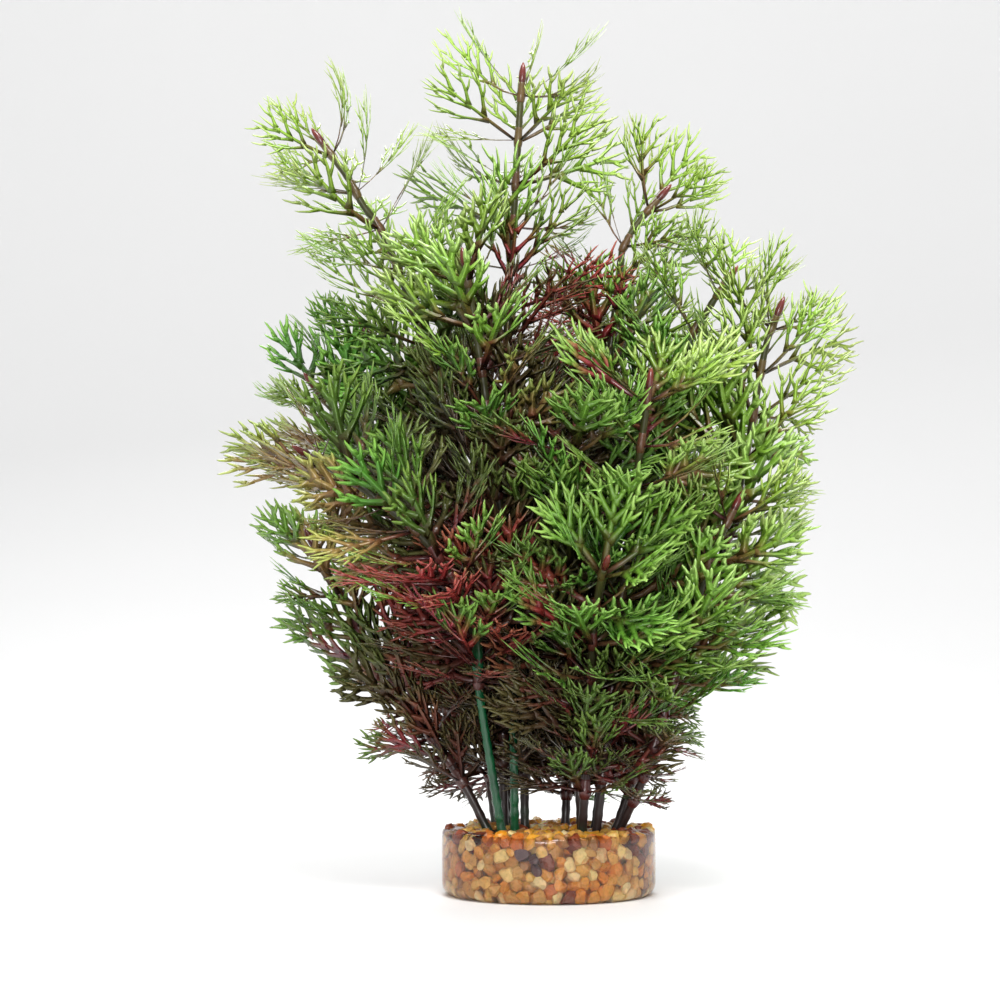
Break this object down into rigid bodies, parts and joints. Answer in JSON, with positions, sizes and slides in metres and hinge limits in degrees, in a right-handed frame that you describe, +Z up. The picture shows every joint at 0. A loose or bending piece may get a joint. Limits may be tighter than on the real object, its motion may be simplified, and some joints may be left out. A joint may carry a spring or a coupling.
{
  "type": "artificial cabomba aquarium plant",
  "caption": "Bushy moulded-plastic cabomba with forked leaf whorls on slim stems, standing in a round base of gravel cast in clear resin.",
  "frame": {"origin": "centre of the underside of the round gravel base", "axes": "+Z up along the stems, -Y towards the viewer's front, +X to the right seen from the front"},
  "size_m": [0.2243, 0.1583, 0.2989],
  "materials": {
    "foliage_plastic": "thin moulded plastic with a soft shine, maroon or olive at the whorl and green to pale lime at the needle tips",
    "stem_plastic": "smooth glossy plastic rod, emerald near the base and dark olive above",
    "cap_plastic": "glossy red-brown plastic",
    "gravel_resin": "amber, cream and brown quartz gravel bound in clear glossy resin"
  },
  "bodies": {
    "root": {"gravel_base": "gravel_resin", "stem_back": "stem_plastic", "stem_back_left": "stem_plastic", "stem_centre": "stem_plastic", "stem_far_left": "stem_plastic", "stem_far_right": "stem_plastic", "stem_front_left": "stem_plastic", "stem_front_low": "stem_plastic", "stem_front_right": "stem_plastic", "stem_left": "stem_plastic", "stem_low_right": "stem_plastic", "stem_middle": "stem_plastic", "stem_rear_left": "stem_plastic", "stem_right": "stem_plastic", "stem_upper_left": "stem_plastic", "stem_upper_right": "stem_plastic", "tip_cap_back": "cap_plastic", "tip_cap_back_left": "cap_plastic", "tip_cap_centre": "cap_plastic", "tip_cap_far_left": "cap_plastic", "tip_cap_far_right": "cap_plastic", "tip_cap_front_left": "cap_plastic", "tip_cap_front_low": "cap_plastic", "tip_cap_front_right": "cap_plastic", "tip_cap_left": "cap_plastic", "tip_cap_low_right": "cap_plastic", "tip_cap_middle": "cap_plastic", "tip_cap_rear_left": "cap_plastic", "tip_cap_right": "cap_plastic", "tip_cap_upper_left": "cap_plastic", "tip_cap_upper_right": "cap_plastic", "whorls_back_left_low": "foliage_plastic", "whorls_back_left_top": "foliage_plastic", "whorls_back_top": "foliage_plastic", "whorls_centre_low": "foliage_plastic", "whorls_centre_middle": "foliage_plastic", "whorls_centre_top": "foliage_plastic", "whorls_far_left_top": "foliage_plastic", "whorls_far_right_low": "foliage_plastic", "whorls_far_right_top": "foliage_plastic", "whorls_front_left_low": "foliage_plastic", "whorls_front_left_top": "foliage_plastic", "whorls_front_low_top": "foliage_plastic", "whorls_front_right_low": "foliage_plastic", "whorls_front_right_top": "foliage_plastic", "whorls_left_low": "foliage_plastic", "whorls_left_top": "foliage_plastic", "whorls_low_right_top": "foliage_plastic", "whorls_middle_low": "foliage_plastic", "whorls_middle_top": "foliage_plastic", "whorls_rear_left_low": "foliage_plastic", "whorls_rear_left_top": "foliage_plastic", "whorls_right_low": "foliage_plastic", "whorls_right_top": "foliage_plastic", "whorls_upper_left_low": "foliage_plastic", "whorls_upper_left_middle": "foliage_plastic", "whorls_upper_left_top": "foliage_plastic", "whorls_upper_right_low": "foliage_plastic", "whorls_upper_right_middle": "foliage_plastic", "whorls_upper_right_top": "foliage_plastic"}
  },
  "joints": []
}
